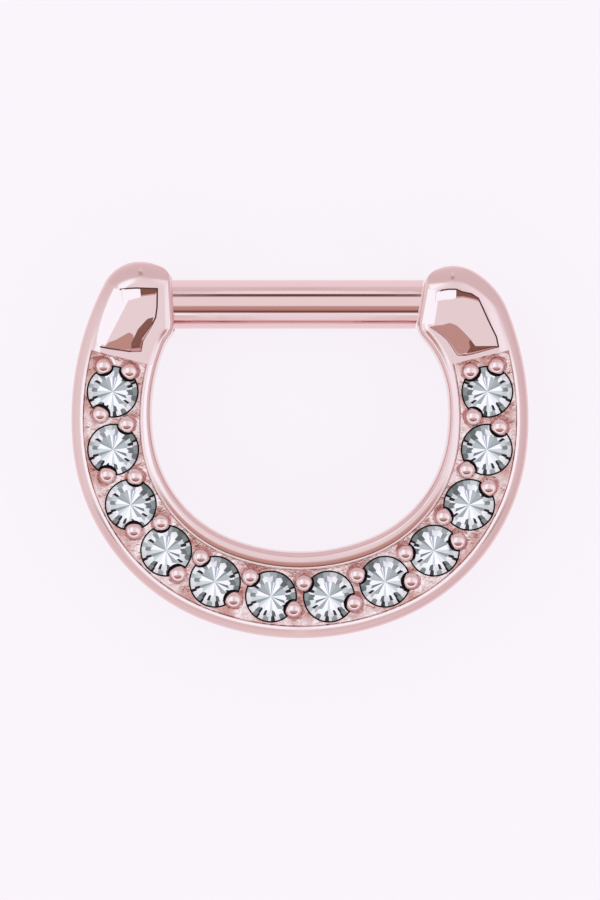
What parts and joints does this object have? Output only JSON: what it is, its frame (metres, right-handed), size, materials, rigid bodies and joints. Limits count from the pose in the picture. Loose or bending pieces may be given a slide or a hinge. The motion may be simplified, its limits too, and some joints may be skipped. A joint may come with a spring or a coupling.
{
  "type": "clicker ring",
  "caption": "Rose metal body jewellery ring, D-shaped, with a row of round clear stones across its front and a straight hinged bar that drops into a catch.",
  "frame": {"origin": "centre of the frame's box in plan, on the flat back that the ring lies on", "axes": "+X along the closed bar, from the hinge to the catch; +Y from the curve of the frame to the bar; +Z out of the front, where the stones are"},
  "size_m": [0.0112, 0.0092, 0.0023],
  "materials": {
    "rose_metal": "polished surgical steel with a rose gold coating",
    "clear_stone": "clear cubic zirconia, round brilliant cut"
  },
  "bodies": {
    "frame": {"frame": "rose_metal", "hinge_pin": "rose_metal", "stone_01": "clear_stone", "stone_02": "clear_stone", "stone_03": "clear_stone", "stone_04": "clear_stone", "stone_05": "clear_stone", "stone_06": "clear_stone", "stone_07": "clear_stone", "stone_08": "clear_stone", "stone_09": "clear_stone", "stone_10": "clear_stone", "stone_11": "clear_stone", "stone_12": "clear_stone"},
    "bar": {"bar": "rose_metal"}
  },
  "joints": [
    {"name": "bar_hinge", "type": "hinge", "parent": "frame", "child": "bar", "pos_m": [-0.00382, 0.00357, 0.0011], "axis": [0, 0, 1], "range_deg": [0, 90]}
  ]
}
